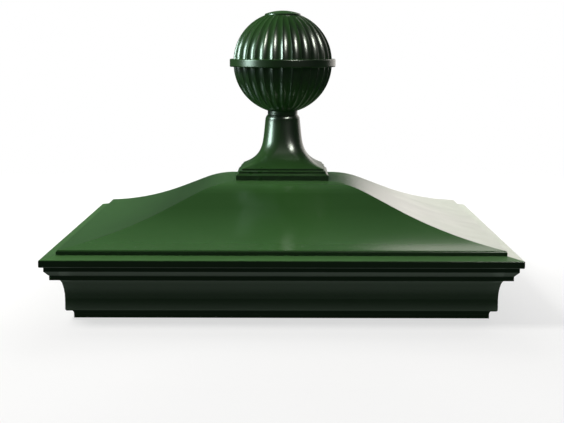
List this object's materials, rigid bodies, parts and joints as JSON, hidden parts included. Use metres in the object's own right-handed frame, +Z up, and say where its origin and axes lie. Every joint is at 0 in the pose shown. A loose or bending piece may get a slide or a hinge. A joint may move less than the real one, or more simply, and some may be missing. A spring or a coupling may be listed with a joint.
{
  "type": "fence post cap",
  "caption": "Square stepped cap for a brick fence pillar with an ogee roof, a square plinth and pedestal, and a fluted ball finial with a plain band and top button.",
  "frame": {"origin": "middle of the skirt's lower edge, on the axis of the pillar", "axes": "+Z up along the pillar's axis, -Y towards the front face, +X to the right seen from the front"},
  "size_m": [0.51, 0.51, 0.3319],
  "materials": {
    "cornice_paint": "gloss dark green powder coat on cast aluminium",
    "roof_paint": "gloss dark green powder coat on cast aluminium",
    "finial_paint": "gloss dark green powder coat on cast aluminium",
    "rod_steel": "drawn stainless steel",
    "plate_zinc": "hot-dip galvanised steel",
    "nut_zinc": "zinc-plated steel",
    "seal_rubber": "matt black rubber"
  },
  "bodies": {
    "root": {"cornice_frame": "cornice_paint", "roof_shell": "roof_paint", "plinth_base": "finial_paint", "pedestal": "finial_paint", "neck_collar": "finial_paint", "ball_lower_half": "finial_paint", "ball_band": "finial_paint", "ball_upper_half": "finial_paint", "top_button": "finial_paint", "tie_rod": "rod_steel", "plinth_dowels": "rod_steel", "pedestal_dowels": "rod_steel", "roof_screws": "rod_steel", "roof_washers": "rod_steel", "anchor_plate": "plate_zinc", "coupling_nut": "nut_zinc", "rod_locknut": "nut_zinc", "crown_nut": "nut_zinc", "crown_washer": "nut_zinc", "bedding_strips": "seal_rubber", "roof_seal": "seal_rubber", "plinth_gasket": "seal_rubber", "button_seal": "seal_rubber"}
  },
  "joints": []
}
